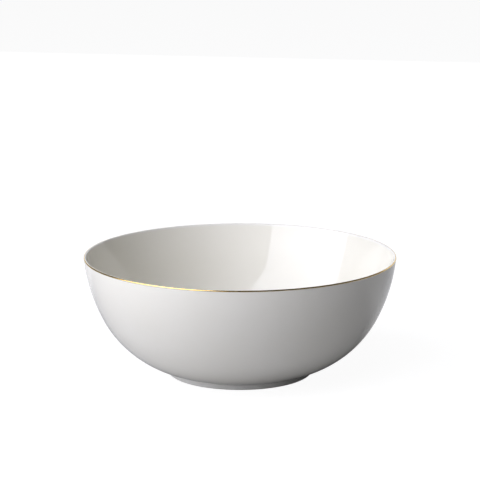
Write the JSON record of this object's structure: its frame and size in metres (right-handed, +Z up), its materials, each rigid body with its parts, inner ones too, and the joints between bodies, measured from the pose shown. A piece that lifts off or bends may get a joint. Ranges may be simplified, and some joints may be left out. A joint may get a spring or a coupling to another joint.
{
  "type": "serving bowl",
  "caption": "Round white glazed porcelain serving bowl with curved sides, a low foot ring and a fine gilded line round its lip.",
  "frame": {"origin": "centre of the foot ring's standing edge, on the surface the bowl stands on", "axes": "+Z up, along the bowl's axis of revolution, out of its mouth; +X and +Y are any two radii"},
  "size_m": [0.2402, 0.2402, 0.0922],
  "materials": {
    "porcelain_body": "satin",
    "bare_porcelain": "matte",
    "white_glaze": "polished",
    "fired_gold": "gloss",
    "stamp_colour": "gloss"
  },
  "bodies": {
    "root": {"bowl_body": "porcelain_body", "foot_ring": "bare_porcelain", "inside_glaze": "white_glaze", "outside_glaze": "white_glaze", "underside_glaze": "white_glaze", "gold_band": "fired_gold", "backstamp": "stamp_colour"}
  },
  "joints": []
}
